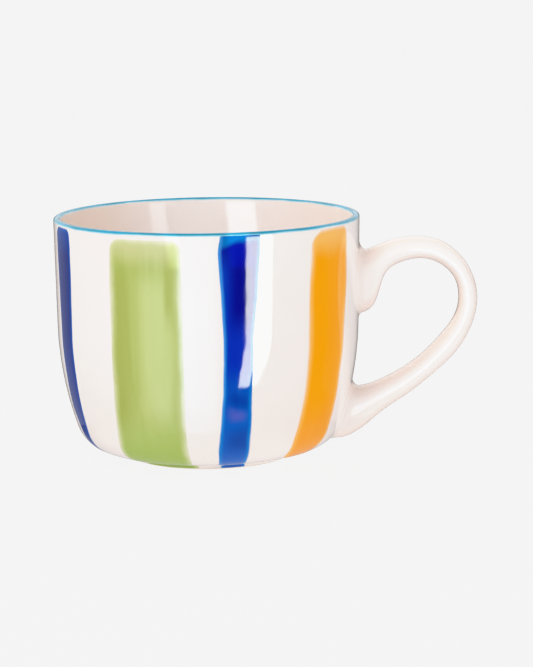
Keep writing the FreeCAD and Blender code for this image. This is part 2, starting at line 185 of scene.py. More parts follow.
class Outline:
    """A curve in (radius, height) that can be read at any distance along it."""

    def __init__(self, points):
        kept = [np.array(points[0], float)]
        for p in points[1:]:
            if np.linalg.norm(p - kept[-1]) > 1e-3:
                kept.append(np.array(p, float))
        self.points = np.array(kept)
        steps = np.linalg.norm(np.diff(self.points, axis=0), axis=1)
        self.lengths = np.concatenate([[0], np.cumsum(steps)])
        self.total = self.lengths[-1]
        tangents = np.gradient(self.points, self.lengths, axis=0)
        tangents /= np.linalg.norm(tangents, axis=1)[:, None]
        self.normals = np.stack([tangents[:, 1], -tangents[:, 0]], axis=1)

    def at(self, s):
        """Points and outward normals at distances s."""
        place = [np.interp(s, self.lengths, self.points[:, i]) for i in (0, 1)]
        normal = [np.interp(s, self.lengths, self.normals[:, i]) for i in (0, 1)]
        normal = np.stack(normal, axis=-1)
        return np.stack(place, axis=-1), normal / np.linalg.norm(normal, axis=-1)[..., None]

    def length_at_height(self, z):
        """Distance along the curve where it first comes up to height z."""
        return np.interp(z, self.points[:, 1], self.lengths)

    def nearest(self, r, z):
        """Distance along the curve of the nearest place, and how far outside the curve (r, z) is."""
        fine = np.linspace(0, self.total, 2400)
        place, normal = self.at(fine)
        r, z = np.asarray(r), np.asarray(z)
        gap = (r[..., None] - place[:, 0]) ** 2 + (z[..., None] - place[:, 1]) ** 2
        best = gap.argmin(axis=-1)
        away = (r - place[best, 0]) * normal[best, 0] + (z - place[best, 1]) * normal[best, 1]
        return fine[best], away


CUP = Outline(cup_outline())


def ripple(theta, s):
    """Small unevenness of the thrown wall and its glaze, in mm."""
    swell = 0.022 * np.sin(2 * theta + 0.6 + s * 0.03) + 0.014 * np.sin(5 * theta - 1.1 - s * 0.05)
    rings = 0.010 * np.sin(s * 0.42 + 1.3 * np.sin(theta)) + 0.006 * np.sin(s * 0.9 - 2 * theta)
    return swell + rings


def on_cup(theta, s, lift=0.0):
    """Points of the glazed outside in space, at turning angle theta and distance s up the outline."""
    theta, s = np.broadcast_arrays(theta, s)
    place, normal = CUP.at(s)
    fade = np.clip((s - 4) / 8, 0, 1) * np.clip((CUP.total - s) / 6, 0, 1)
    out = ripple(theta, s) * fade + lift
    r = place[..., 0] + normal[..., 0] * out
    z = place[..., 1] + normal[..., 1] * out
    return np.stack([r * np.cos(theta), r * np.sin(theta), z], axis=-1)


# ---------------------------------------------------------------- meshes


def add_object(name, points, faces):
    """A mesh object in the scene from points in metres."""
    mesh = bpy.data.meshes.new(name)
    mesh.from_pydata([tuple(p) for p in points], [], faces)
    thing = bpy.data.objects.new(name, mesh)
    bpy.context.scene.collection.objects.link(thing)
    return thing


def make_object(name, points, faces, values=None, sharp=50):
    """A smooth-shaded mesh object from points in mm. values maps attribute names to a number per point."""
    thing = add_object(name, np.asarray(points) * MM, faces)
    mesh = thing.data
    mesh.validate()
    mesh.polygons.foreach_set("use_smooth", [True] * len(mesh.polygons))
    mesh.set_sharp_from_angle(angle=math.radians(sharp))
    for key, numbers in (values or {}).items():
        layer = mesh.attributes.new(key, "FLOAT", "POINT")
        layer.data.foreach_set("value", np.asarray(numbers, np.float32))
    return thing


def ring_faces(rows, columns, closed_rows=False):
    """Quads between rows of points that each go round once."""
    faces = []
    for i in range(rows if closed_rows else rows - 1):
        a = i * columns
        b = (i + 1) % rows * columns
        for j in range(columns):
            k = (j + 1) % columns
            faces.append((a + j, a + k, b + k, b + j))
    return faces


def turned(name, loop, values=None):
    """Turns a closed loop of (radius, height) points about the mug's axis. Points on the axis are shared."""
    angles = np.arange(TURNS) * 2 * math.pi / TURNS
    on_axis = [r < 1e-6 for r, _ in loop]
    points = []
    starts = []
    for (r, z), single in zip(loop, on_axis):
        starts.append(len(points))
        points += [(0.0, 0.0, z)] if single else [(r * math.cos(a), r * math.sin(a), z) for a in angles]
    faces = []
    numbers = {key: [] for key in (values or {})}
    for i in range(len(loop)):
        for key in numbers:
            numbers[key] += [values[key][i]] * (1 if on_axis[i] else TURNS)
        n = (i + 1) % len(loop)
        a, b = starts[i], starts[n]
        if on_axis[i] and on_axis[n]:
            continue
        for j in range(TURNS):
            k = (j + 1) % TURNS
            if on_axis[i]:
                faces.append((a, b + k, b + j))
            elif on_axis[n]:
                faces.append((a + j, a + k, b))
            else:
                faces.append((a + j, a + k, b + k, b + j))
    return make_object(name, points, faces, numbers)


def thick_loop(points, normals, thickness, coarse=4):
    """Closes a line of outline points with a coarser copy of it set back by the thickness."""
    back = points - normals * thickness
    picked = list(range(0, len(points), coarse))
    if picked[-1] != len(points) - 1:
        picked.append(len(points) - 1)
    back = back[picked][::-1]
    back[:, 0] = np.maximum(back[:, 0], 0)
    return np.concatenate([points, back])


def glazed_wall():
    """The white glaze outside, from the foot's glaze line to the painted rim line."""
    top = CUP.length_at_height(WALL_SKIN_TOP)
    rows = CUP.lengths[CUP.lengths < top - 0.1]
    rows = np.concatenate([rows, [top]])
    theta = np.arange(TURNS) * 2 * math.pi / TURNS
    front = on_cup(theta[None, :], rows[:, None])
    back_rows = rows[::-1][::5]
    back_rows[-1] = rows[0]
    back = on_cup(theta[None, :], back_rows[:, None], -GLAZE)
    points = np.concatenate([front.reshape(-1, 3), back.reshape(-1, 3)])
    count = len(rows) + len(back_rows)
    faces = ring_faces(count, TURNS, closed_rows=True)
    return make_object("glazed_wall", points, faces)


# ---------------------------------------------------------------- painted stripes

# Each stripe: name, slot, height of its top, its left and right edges in degrees from the front
# (to the right is positive) at the heights in EDGE_HEIGHTS, the roundness of its top corners in mm,
# and whether the brush went on over the foot. The last height stands for the foot.
EDGE_HEIGHTS = (79.0, 74.0, 62.0, 46.0, 30.0, 18.0, 10.0, 5.0, 3.0)
STRIPES = [
    ("stroke_blue_left", "blue_left", 78.25, (-74.8, -75.2, -74.6, -73.6, -73.4, -75.0, -72.0, -71.5, -71.5),
     (-61.8, -61.0, -60.9, -61.5, -61.9, -63.0, -63.5, -63.6, -62.0), 3.0, 2.0, True),
    ("stroke_green_front", "green", 77.4, (-37.2, -38.0, -38.6, -38.4, -39.0, -40.8, -42.4, -43.6, -51.0),
     (-9.8, -9.5, -9.2, -9.1, -9.0, -9.4, -9.0, -8.4, -7.6), 3.6, 3.0, True),
    ("stroke_blue_front", "blue", 78.6, (4.6, 3.4, 4.3, 5.2, 4.9, 4.1, 3.1, 3.6, 6.6),
     (19.6, 19.5, 18.6, 16.9, 16.4, 17.0, 17.2, 17.6, 24.4), 0.5, 0.5, True),
    ("stroke_orange_right", "orange", 78.2, (42.4, 41.0, 40.0, 39.7, 39.2, 38.6, 37.4, 37.0, 37.0),
     (63.0, 63.8, 64.2, 62.2, 60.6, 61.2, 60.6, 58.0, 57.0), 4.6, 2.4, False),
    ("stroke_blue_back_right", "blue_left", 78.25,
     (117.0, 117.4, 116.8, 117.6, 117.2, 116.4, 116.0, 115.6, 114.0),
     (131.0, 130.6, 131.2, 130.4, 130.8, 131.4, 131.0, 131.6, 134.0), 3.0, 2.0, True),
    ("stroke_green_back", "green", 77.4, (149.6, 149.0, 149.4, 148.8, 148.6, 147.4, 146.0, 145.4, 140.0),
     (176.4, 176.8, 177.2, 176.6, 177.0, 177.6, 178.4, 179.0, 183.0), 3.8, 3.8, True),
    ("stroke_blue_back_left", "blue", 78.6, (198.6, 199.4, 198.8, 199.6, 199.0, 198.4, 197.8, 197.6, 196.0),
     (211.8, 211.0, 211.8, 211.2, 211.6, 212.2, 212.4, 212.8, 215.0), 0.5, 0.5, True),
    ("stroke_orange_back", "orange", 78.2, (236.8, 236.2, 236.0, 236.6, 236.0, 235.0, 234.0, 233.4, 233.4),
     (259.2, 259.8, 259.2, 259.6, 259.0, 259.6, 259.0, 257.0, 257.0), 4.6, 2.4, False),
]
FRONT = -90.0               # the front of the mug looks along -Y
PAINT_LIFT = 0.07
PAINT_SINK = 0.03
PAINT_DEPTH = 0.14
PAINT_STEP = 0.5            # spacing of a stripe's points
ON_THE_FOOT = 29.0          # radius inside which a stripe lies on the foot
FEATHER = 1.9
ONTO_THE_LINE = 0.35        # how far a stripe that meets the rim line runs onto it
UNDERSIDE_END = 8.0         # how far up the outline a stripe that stops short of the foot ends


def smooth(a, b, x):
    t = np.clip((x - a) / (b - a), 0, 1)
    return t * t * (3 - 2 * t)


def stripe(name, top, left, right, left_corner, right_corner, over_foot):
    """One painted stripe lying on the glaze. Its edges thin out to nothing under the white."""
    if top > RIM_LINE_OUTSIDE:
        high = CUP.length_at_height(RIM_LINE_OUTSIDE) + ONTO_THE_LINE
    else:
        high = CUP.length_at_height(top) + FEATHER
    low = 0.0 if over_foot else UNDERSIDE_END
    rows = np.linspace(low, high, int((high - low) / PAINT_STEP))
    place, _ = CUP.at(rows)
    heights = EDGE_HEIGHTS[::-1]
    level = np.where(place[:, 0] < ON_THE_FOOT, EDGE_HEIGHTS[-1], np.maximum(place[:, 1], EDGE_HEIGHTS[-2]))
    left_edge = np.interp(level, heights, left[::-1])
    right_edge = np.interp(level, heights, right[::-1])
    kernel = np.ones(9) / 9
    left_edge = np.convolve(np.pad(left_edge, 4, mode="edge"), kernel, "valid")
    right_edge = np.convolve(np.pad(right_edge, 4, mode="edge"), kernel, "valid")
    width = np.radians(right_edge - left_edge) * place[:, 0]
    columns = int(width.max() / PAINT_STEP) + 8
    across = np.linspace(0, 1, columns)
    offset = -FEATHER + across[None, :] * (width[:, None] + 2 * FEATHER)
    theta = np.radians(FRONT + left_edge[:, None]) + offset / place[:, :1]
    from_left = offset
    from_right = width[:, None] - offset
    from_top = np.broadcast_to((high - FEATHER - rows)[:, None], offset.shape)
    if top > RIM_LINE_OUTSIDE:
        from_top = from_top + 2 * FEATHER
    if not over_foot:
        from_top = np.minimum(from_top, (rows - UNDERSIDE_END - FEATHER)[:, None])

    def cornered(side, radius):
        a = np.maximum(radius - side, 0)
        b = np.maximum(radius - from_top, 0)
        return np.where((a > 0) & (b > 0), radius - np.hypot(a, b), np.minimum(side, from_top))

    edge = np.minimum(cornered(from_left, left_corner), cornered(from_right, right_corner))
    lift = -PAINT_SINK + (PAINT_LIFT + PAINT_SINK) * smooth(-0.6, 1.6, edge)
    down = (rows[-1] - rows[:, None] + 0 * offset) / (rows[-1] - rows[0])
    front = on_cup(theta, rows[:, None] + 0 * offset, lift)
    back = on_cup(theta, rows[:, None] + 0 * offset, -PAINT_DEPTH + 0 * lift)
    count = len(rows)
    points = np.concatenate([front.reshape(-1, 3), back.reshape(-1, 3)])
    total = count * columns
    faces = []
    for i in range(count - 1):
        for j in range(columns - 1):
            a = i * columns + j
            b = a + columns
            faces.append((a, a + 1, b + 1, b))
            faces.append((total + a, total + b, total + b + 1, total + a + 1))
    for i in range(count - 1):
        a = i * columns
        b = a + columns
        faces.append((a, b, total + b, total + a))
        a += columns - 1
        b += columns - 1
        faces.append((a, total + a, total + b, b))
    last = (count - 1) * columns
    for j in range(columns - 1):
        faces.append((j, total + j, total + j + 1, j + 1))
        faces.append((last + j, last + j + 1, total + last + j + 1, total + last + j))
    doubled = [np.concatenate([v.ravel(), v.ravel()]) for v in (edge, across[None, :] + 0 * offset, down)]
    return make_object(name, points, faces, dict(edge=doubled[0], across=doubled[1], down=doubled[2]))


# ---------------------------------------------------------------- handle


def spline(knots, values):
    """A smooth curve through values at the knots, with free ends. Returns a function of the parameter."""
    n = len(knots)
    h = np.diff(knots)
    matrix = np.zeros((n, n))
    right = np.zeros((n,) + values.shape[1:])
    matrix[0, 0] = matrix[-1, -1] = 1
    for i in range(1, n - 1):
        matrix[i, i - 1] = h[i - 1]
        matrix[i, i] = 2 * (h[i - 1] + h[i])
        matrix[i, i + 1] = h[i]
        right[i] = 6 * ((values[i + 1] - values[i]) / h[i] - (values[i] - values[i - 1]) / h[i - 1])
    bend = np.linalg.solve(matrix, right.reshape(n, -1)).reshape(right.shape)

    def read(t):
        t = np.asarray(t, float)
        i = np.clip(np.searchsorted(knots, t) - 1, 0, n - 2)
        gap = h[i]
        a = ((knots[i + 1] - t) / gap)[..., None]
        b = ((t - knots[i]) / gap)[..., None]
        gap = gap[..., None]
        return a * values[i] + b * values[i + 1] + \
            ((a ** 3 - a) * bend[i] + (b ** 3 - b) * bend[i + 1]) * gap ** 2 / 6

    return read


stations = np.array([row[1:] for row in HANDLE_STATIONS])
middles = (stations[:, 0:2] + stations[:, 2:4]) / 2
spacing = np.linalg.norm(np.diff(middles, axis=0), axis=1)
KNOTS = np.concatenate([[0], np.cumsum(spacing)])
strap = spline(KNOTS, stations)
ROUND = 96                  # points round the strap
STRAP_RINGS = 220           # rings of points along the strap, and along each flared joint
JOINT_RINGS = 15
SQUARENESS = 2.35           # 2 is an ellipse; the strap's flanks are a little flatter


def on_strap(t, phi, inset=0.0):
    """Points on the strap at distance t along it. phi is 0 on its outer side, 180 degrees on its inner."""
    t, phi = np.broadcast_arrays(np.asarray(t, float), np.asarray(phi, float))
    row = strap(t)
    outer = row[..., 0:2]
    inner = row[..., 2:4]
    middle = (outer + inner) / 2
    half = np.linalg.norm(outer - inner, axis=-1) / 2
    across = (outer - inner) / (2 * half[..., None])
    swell = (np.abs(np.cos(phi)) ** SQUARENESS + np.abs(np.sin(phi)) ** SQUARENESS) ** (-1 / SQUARENESS)
    reach = (half - inset) * swell * np.cos(phi)
    wide = (row[..., 4] / 2 - inset) * swell * np.sin(phi)
    x, z = (middle[..., i] + across[..., i] * reach for i in (0, 1))
    return np.stack([x, wide, z], axis=-1)


def strap_frame(t, phi):
    """Direction along the strap and outward normal at a place on it."""
    step = 1e-3
    along = on_strap(t + step, phi) - on_strap(t - step, phi)
    round_ = on_strap(t, phi + step) - on_strap(t, phi - step)
    normal = np.cross(round_, along)
    along /= np.linalg.norm(along, axis=-1)[..., None]
    normal /= np.linalg.norm(normal, axis=-1)[..., None]
    middle = on_strap(t, phi, 0.5) - on_strap(t, phi)
    flip = np.sign(-(normal * middle).sum(-1))[..., None]
    return along, normal * flip


def off_cup(points):
    """How far points are outside the cup's glazed surface."""
    r = np.hypot(points[..., 0], points[..., 1])
    return CUP.nearest(r, points[..., 2])[1]


def leave_cup(samples, phi, gap):
    """For each phi, the last place along samples where the strap is nearer to the cup than gap."""
    distance = off_cup(on_strap(samples[None, :], phi[:, None]))
    found = []
    for k in range(len(phi)):
        below = distance[k] < gap[k]
        i = np.nonzero(below)[0].max()
        d0, d1 = distance[k, i], distance[k, i + 1]
        f = (gap[k] - d0) / (d1 - d0)
        found.append(samples[i] + f * (samples[i + 1] - samples[i]))
    return np.array(found)


def beside_cup(points):
    """The turning angle and the distance up the cup's outline of the places nearest to points."""
    s = CUP.nearest(np.hypot(points[:, 0], points[:, 1]), points[:, 2])[0]
    return np.arctan2(points[:, 1], points[:, 0]), s


def joint(which, start_gap, land_gap):
    """The flared surface between strap and cup: where it starts, its rows of points, and a hidden ring."""
    phi = np.arange(ROUND) * 2 * math.pi / ROUND
    if which == "upper":
        samples = np.linspace(KNOTS[0], KNOTS[4], 500)
        sign = 1
    else:
        samples = np.linspace(KNOTS[-1], KNOTS[-5], 500)
        sign = -1
    start = leave_cup(samples, phi, start_gap(phi))
    meet = leave_cup(samples, phi, 0 * phi)
    a = on_strap(start, phi)
    leave = -sign * strap_frame(start, phi)[0]
    crossing = on_strap(meet, phi)
    strap_normal = strap_frame(meet, phi)[1]
    theta, s = beside_cup(crossing)
    out, up = CUP.at(s)[1].T
    wall_normal = np.stack([out * np.cos(theta), out * np.sin(theta), up], axis=-1)
    sideways = strap_normal - wall_normal * (strap_normal * wall_normal).sum(-1)[:, None]
    sideways /= np.linalg.norm(sideways, axis=1)[:, None]
    landed = crossing + sideways * land_gap(phi)[:, None]
    b = on_cup(*beside_cup(landed))
    ahead = beside_cup(landed + sideways * 0.5)
    beyond = on_cup(*ahead, -0.05)
    arrive = on_cup(*ahead) - b
    arrive /= np.linalg.norm(arrive, axis=1)[:, None]
    size = np.linalg.norm(b - a, axis=1)[:, None] * 1.15
    rows = []
    for u in np.linspace(0, 1, JOINT_RINGS):
        h1 = 2 * u ** 3 - 3 * u ** 2 + 1
        h2 = u ** 3 - 2 * u ** 2 + u
        h3 = -2 * u ** 3 + 3 * u ** 2
        h4 = u ** 3 - u ** 2
        rows.append(h1 * a + h2 * size * leave + h3 * b + h4 * size * arrive)
    rows.append(beyond)
    hidden = crossing - wall_normal * 0.3
    return start, rows, hidden


def pairs(outside, inside, side):
    """A smooth amount round the strap: on its outer side, on its inner side and across it."""
    def amount(phi):
        c = np.cos(phi)
        return np.where(c > 0, outside, inside) * np.abs(c) ** 2 + side * np.sin(phi) ** 2
    return amount


def build_handle():
    """Three glazed pieces: the strap's skin and the two flared joints."""
    phi = np.arange(ROUND) * 2 * math.pi / ROUND
    upper_start, upper_rows, upper_hidden = joint("upper", pairs(2.8, 1.3, 2.8), pairs(4.2, 1.4, 3.2))
    lower_start, lower_rows, lower_hidden = joint("lower", pairs(1.8, 3.0, 2.6), pairs(2.6, 3.4, 3.0))
    blend = np.linspace(0, 1, STRAP_RINGS)
    t = upper_start[None, :] * (1 - blend[:, None]) + lower_start[None, :] * blend[:, None]
    skin = on_strap(t, phi[None, :])
    inner_t = t[::-4].copy()
    inner_t[-1] = t[0]
    inner = on_strap(inner_t, phi[None, :], GLAZE)
    points = np.concatenate([skin.reshape(-1, 3), inner.reshape(-1, 3)])
    rows = STRAP_RINGS + len(inner_t)
    facing = np.tile(np.cos(phi), rows)
    pieces = []
    pieces.append(make_object("handle_skin", points, ring_faces(rows, ROUND, closed_rows=True),
                              dict(facing=facing)))
    for name, strip, hidden, inside in (("upper_joint_glaze", upper_rows, upper_hidden, upper_start),
                                        ("lower_joint_glaze", lower_rows, lower_hidden, lower_start)):
        under = on_strap(inside, phi, GLAZE)
        ring = strip + [hidden, under]
        points = np.concatenate(ring)
        facing = np.tile(np.cos(phi), len(ring))
        pieces.append(make_object(name, points, ring_faces(len(ring), ROUND, closed_rows=True),
                                  dict(facing=facing), sharp=60))
    return pieces


def fix_normals(thing):
    """Turns all faces of a closed piece outwards."""
    bpy.context.view_layer.objects.active = thing
    thing.select_set(True)
    bpy.ops.object.mode_set(mode="EDIT")
    bpy.ops.mesh.select_all(action="SELECT")
    bpy.ops.mesh.normals_make_consistent(inside=False)
    bpy.ops.object.mode_set(mode="OBJECT")
    thing.select_set(False)


# ---------------------------------------------------------------- materials


class Tree:
    """Short calls for building a node tree."""

    def __init__(self, owner):
        owner.use_nodes = True
        self.tree = owner.node_tree
        self.tree.nodes.clear()

    def node(self, kind, *sources, **settings):
        """A new node with its properties set and its first inputs filled."""
        node = self.tree.nodes.new("ShaderNode" + kind)
        for key, value in settings.items():
            setattr(node, key, value)
        for source, socket in zip(sources, node.inputs):
            self.link(source, socket)
        return node

    def link(self, source, socket):
        """Connects an output to a socket, or sets a number, vector or colour on it."""
        if isinstance(source, (int, float)):
            socket.default_value = source
        elif isinstance(source, tuple):
            socket.default_value = source if len(source) == 4 or socket.type != "RGBA" else source + (1.0,)
        else:
            self.tree.links.new(source, socket)

    def math(self, kind, a, b=0.0):
        return self.node("Math", a, b, operation=kind).outputs[0]

    def ramp(self, value, low, high, to_low=0.0, to_high=1.0):
        """Smoothly maps low..high to to_low..to_high."""
        node = self.node("MapRange", value, low, high, to_low, to_high, interpolation_type="SMOOTHSTEP")
        return node.outputs["Result"]

    def split(self, vector):
        """The X, Y and Z of a vector."""
        return self.node("SeparateXYZ", vector).outputs


class Nodes(Tree):
    """The node tree of one of the mug's materials, round a Principled shader."""

    def __init__(self, name):
        self.material = bpy.data.materials.new(name)
        super().__init__(self.material)
        self.shader = self.node("BsdfPrincipled")
        self.node("OutputMaterial", self.shader.outputs[0])
        self.coords = self.node("TexCoord").outputs["Object"]

    def attribute(self, name):
        return self.node("Attribute", attribute_name=name).outputs["Fac"]

    def along(self, axis):
        """Place along one of the mug's own axes, in metres."""
        return self.split(self.coords)[axis]

    def noise(self, scale, stretch=(1, 1, 1), detail=3.0, shift=(0, 0, 0), roughness=0.5):
        """Noise over the object's own coordinates; scale is in features per metre."""
        mapping = self.node("Mapping", self.coords, shift, (0, 0, 0), stretch)
        node = self.node("TexNoise", mapping.outputs[0])
        for name, value in (("Scale", scale), ("Detail", detail), ("Roughness", roughness)):
            node.inputs[name].default_value = value
        return node.outputs["Fac"]

    def wander(self, noise, amount):
        """Noise turned into a shift to either side."""
        return self.math("MULTIPLY", self.math("SUBTRACT", noise, 0.5), amount)

    def mix(self, factor, a, b):
        node = self.node("Mix", data_type="RGBA")
        for source, socket in ((factor, "Factor"), (a, 6), (b, 7)):
            self.link(source, node.inputs[socket])
        return node.outputs[2]

    def bump(self, height, strength, distance):
        node = self.node("Bump")
        for name, value in (("Strength", strength), ("Distance", distance), ("Height", height)):
            self.link(value, node.inputs[name])
        self.link(node.outputs[0], self.shader.inputs["Normal"])

    def finish(self, colour, roughness):
        self.link(colour, self.shader.inputs["Base Color"])
        self.link(roughness, self.shader.inputs["Roughness"])
        return self.material


def rgb(r, g, b):
    """A colour given on the 0-255 display scale, as the linear values that shaders use."""
    def linear(v):
        v /= 255
        return v / 12.92 if v <= 0.04045 else ((v + 0.055) / 1.055) ** 2.4
    return (linear(r), linear(g), linear(b))


WHITE = rgb(243, 233, 229)
WHITE_WARM = rgb(241, 228, 222)
WHITE_COOL = rgb(244, 236, 233)
GLAZE_IOR = 1.52


def specked(n, colour, scale, speck):
    """A few faint dark specks in the glaze."""
    return n.mix(n.ramp(n.noise(scale, detail=1.0), 0.74, 0.80, 0.0, 0.06), colour, speck)


def glaze_colour(n):
    """White glaze: warmer where it is thin, painted warmer shade low on the body, with faint clouds and
    specks.
    """
    clouds = n.ramp(n.noise(22.0, detail=4.0), 0.36, 0.66)
    colour = n.mix(clouds, WHITE_COOL, WHITE)
    thin = n.ramp(n.noise(60.0, detail=3.0, shift=(0.3, 0.1, 0.7)), 0.55, 0.8, 0.0, 0.5)
    colour = n.mix(thin, colour, WHITE_WARM)
    # painted shade: warmer low on the body, fading out by 40 mm up
    low = n.ramp(n.along("Z"), 0.004, 0.040, 0.35, 0.0)
    colour = n.mix(low, colour, WHITE_WARM)
    return specked(n, colour, 900.0, rgb(196, 176, 160))


def glaze_surface(n):
    """Roughness and the faint unevenness that all the glossy glazes share."""
    n.shader.inputs["IOR"].default_value = GLAZE_IOR
    fine = n.noise(420.0, detail=2.0)
    wide = n.noise(75.0, detail=2.0, shift=(0.2, 0.5, 0.1))
    n.bump(n.math("ADD", n.math("MULTIPLY", fine, 0.15), wide), 0.08, 0.0004)
    return n.ramp(n.noise(150.0, detail=2.0), 0.3, 0.7, 0.045, 0.085)


def white_glaze(name):
    n = Nodes(name)
    roughness = glaze_surface(n)
    return n.finish(glaze_colour(n), roughness)


def handle_glaze(name):
    """White glaze on the strap, with painted rosy shade along its outer and inner sides."""
    n = Nodes(name)
    roughness = glaze_surface(n)
    # painted shade: the strap's outer and inner sides, turned away from the front, are tinted rosier
    edge = n.ramp(n.math("ABSOLUTE", n.attribute("facing")), 0.35, 0.95, 0.0, 0.8)
    colour = n.mix(edge, glaze_colour(n), rgb(240, 220, 210))
    return n.finish(colour, roughness)


def lining_glaze(name):
    """The drinking space's glaze: painted warmer shade to both sides of the cup, and pooled on its floor."""
    n = Nodes(name)
    roughness = glaze_surface(n)
    clouds = n.ramp(n.noise(18.0, detail=4.0), 0.35, 0.68)
    colour = n.mix(clouds, rgb(249, 244, 243), rgb(247, 240, 238))
    # painted shade: the inside is tinted warmer and darker towards both sides, more on the left
    painted_side_shade = rgb(246, 226, 212)
    colour = n.mix(n.ramp(n.along("X"), -0.044, -0.010, 0.9, 0.0), colour, painted_side_shade)
    colour = n.mix(n.ramp(n.along("X"), 0.012, 0.044, 0.0, 0.55), colour, painted_side_shade)
    pooled = n.ramp(n.along("Z"), 0.008, 0.022, 0.6, 0.0)
    colour = n.mix(pooled, colour, rgb(240, 228, 218))
    return n.finish(specked(n, colour, 800.0, rgb(196, 170, 150)), roughness)


def rim_paint(name):
    """Turquoise line over the lip, paler where the brush left it thin."""
    n = Nodes(name)
    roughness = glaze_surface(n)
    edge = n.attribute("edge")
    wobble = n.wander(n.noise(80.0, (1, 1, 0.2), 2.0), 0.8)
    inside = n.math("ADD", edge, wobble)
    tone = n.ramp(n.noise(90.0, (1, 1, 0.3), 3.0, (0.4, 0.2, 0.0)), 0.35, 0.68)
    paint = n.mix(tone, rgb(0, 132, 160), rgb(0, 152, 188))
    paint = n.mix(n.ramp(inside, 0.15, 0.60), rgb(104, 198, 224), paint)
    cover = n.ramp(inside, -0.30, 0.35)
    return n.finish(n.mix(cover, glaze_colour(n), paint), roughness)


def stripe_paint(name, seed, core, deep, rim, top, foot, washes=(), feather=0.4, streak=0.4, fringe=2.6,
                 meeting=None):
    """Brushed colour under a clear gloss, thin at its edges and pooled where the brush was full.
    Each wash is (middle across, half width, start down, end down, colour, amount).
    meeting is the colour where the stroke runs into the rim line."""
    n = Nodes(name)
    roughness = glaze_surface(n)
    shift = (0.13 * seed, 0.29 * seed, 0.07 * seed)
    edge = n.attribute("edge")
    patches = n.noise(46.0, (1, 1, 0.5), 3.0, shift)
    wander = n.wander(patches, 0.22)
    across = n.math("ADD", n.attribute("across"), wander)
    down = n.math("ADD", n.attribute("down"), n.math("MULTIPLY", wander, 0.6))
    fray = n.wander(n.noise(170.0, (1, 1, 0.4), 3.0, shift), 1.0 + feather)
    inside = n.math("ADD", edge, fray)
    streaks = n.noise(300.0, (1, 1, 0.045), 3.0, shift)
    full = n.math("ADD", n.math("MULTIPLY", streaks, streak), n.math("MULTIPLY", patches, 1.0 - streak))
    paint = n.mix(n.ramp(full, 0.38, 0.62, 0.0, 0.7), core, deep)
    for middle, half, start, end, colour, amount in washes:
        away = n.math("ABSOLUTE", n.math("SUBTRACT", across, middle))
        soft = min(0.14, (end - start) / 2)
        reach = n.math("MULTIPLY", n.ramp(down, start, start + soft), n.ramp(down, end - soft, end, 1.0, 0.0))
        here = n.math("MULTIPLY", n.ramp(away, half * 0.15, half, amount, 0.0), reach)
        paint = n.mix(here, paint, colour)
    paint = n.mix(n.ramp(down, 0.03, 0.14, 0.8, 0.0), paint, top)
    paint = n.mix(n.ramp(down, 0.62, 0.86, 0.0, 0.85), paint, foot)
    paint = n.mix(n.ramp(inside, 0.2, fringe, 0.9, 0.0), paint, rim)
    if meeting:
        paint = n.mix(n.ramp(down, 0.012, 0.040, 0.9, 0.0), paint, meeting)
    cover = n.ramp(inside, -feather, feather + 0.3)
    return n.finish(n.mix(cover, glaze_colour(n), paint), roughness)


def bare_clay(name):
    """Unglazed fired clay: matt, grainy, a little darker where it has been handled."""
    n = Nodes(name)
    grain = n.noise(1500.0, detail=4.0, roughness=0.7)
    stain = n.ramp(n.noise(60.0, detail=4.0), 0.4, 0.7)
    colour = n.mix(stain, rgb(226, 211, 196), rgb(206, 188, 170))
    dark = n.ramp(grain, 0.60, 0.75, 0.0, 0.55)
    colour = n.mix(dark, colour, rgb(150, 128, 110))
    n.bump(grain, 0.5, 0.0002)
    return n.finish(colour, n.ramp(grain, 0.3, 0.7, 0.72, 0.9))


# ---------------------------------------------------------------- pieces


def place(thing, material, slot, *nodes):
    thing.data.materials.clear()
    thing.data.materials.append(material)
    fix_normals(thing)
    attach(thing, "root")
    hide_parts(*nodes)
    return thing


WHITE_GLAZE = white_glaze("white_glaze")
HANDLE_GLAZE = handle_glaze("handle_white_glaze")
LINING = lining_glaze("cream_lining_glaze")
CLAY = bare_clay("fired_clay")
RIM = rim_paint("turquoise_rim_paint")

BLUE = dict(core=rgb(0, 94, 192), deep=rgb(0, 74, 182), rim=rgb(0, 130, 208), top=rgb(0, 14, 146),
            foot=rgb(26, 98, 190), feather=0.25, fringe=1.9, meeting=rgb(0, 116, 188),
            washes=[(0.50, 0.70, -0.20, 0.58, rgb(0, 34, 176), 0.9),
                    (0.58, 0.44, -0.10, 0.40, rgb(0, 0, 134), 0.95),
                    (0.55, 0.40, 0.53, 0.63, rgb(0, 46, 152), 0.7),
                    (0.50, 0.30, 0.60, 0.67, rgb(84, 92, 184), 0.8),
                    (0.60, 0.46, 0.66, 0.84, rgb(0, 36, 136), 0.9)])
BLUE_LEFT = dict(core=rgb(8, 50, 138), deep=rgb(14, 42, 126), rim=rgb(0, 88, 178), top=rgb(4, 70, 160),
                 foot=rgb(20, 62, 156), feather=0.25, fringe=1.9,
                 washes=[(0.5, 0.5, 0.02, 0.50, rgb(14, 32, 110), 0.6)])
GREEN = dict(core=rgb(182, 193, 112), deep=rgb(166, 180, 88), rim=rgb(204, 210, 152), top=rgb(206, 206, 152),
             foot=rgb(160, 184, 88), feather=1.7, fringe=3.2, streak=0.7,
             washes=[(0.12, 0.34, 0.06, 0.86, rgb(166, 175, 90), 0.85),
                     # the wash below, a lighter band right of the middle, is partly the paint's own variation
                     # and partly a painted reflection of the front light
                     (0.62, 0.34, 0.08, 0.72, rgb(200, 210, 140), 0.75),
                     (0.78, 0.09, -0.10, 0.36, rgb(166, 174, 78), 0.8),
                     (0.90, 0.16, 0.06, 0.90, rgb(176, 186, 102), 0.6),
                     (0.50, 0.80, 0.60, 1.20, rgb(184, 200, 122), 0.6)])
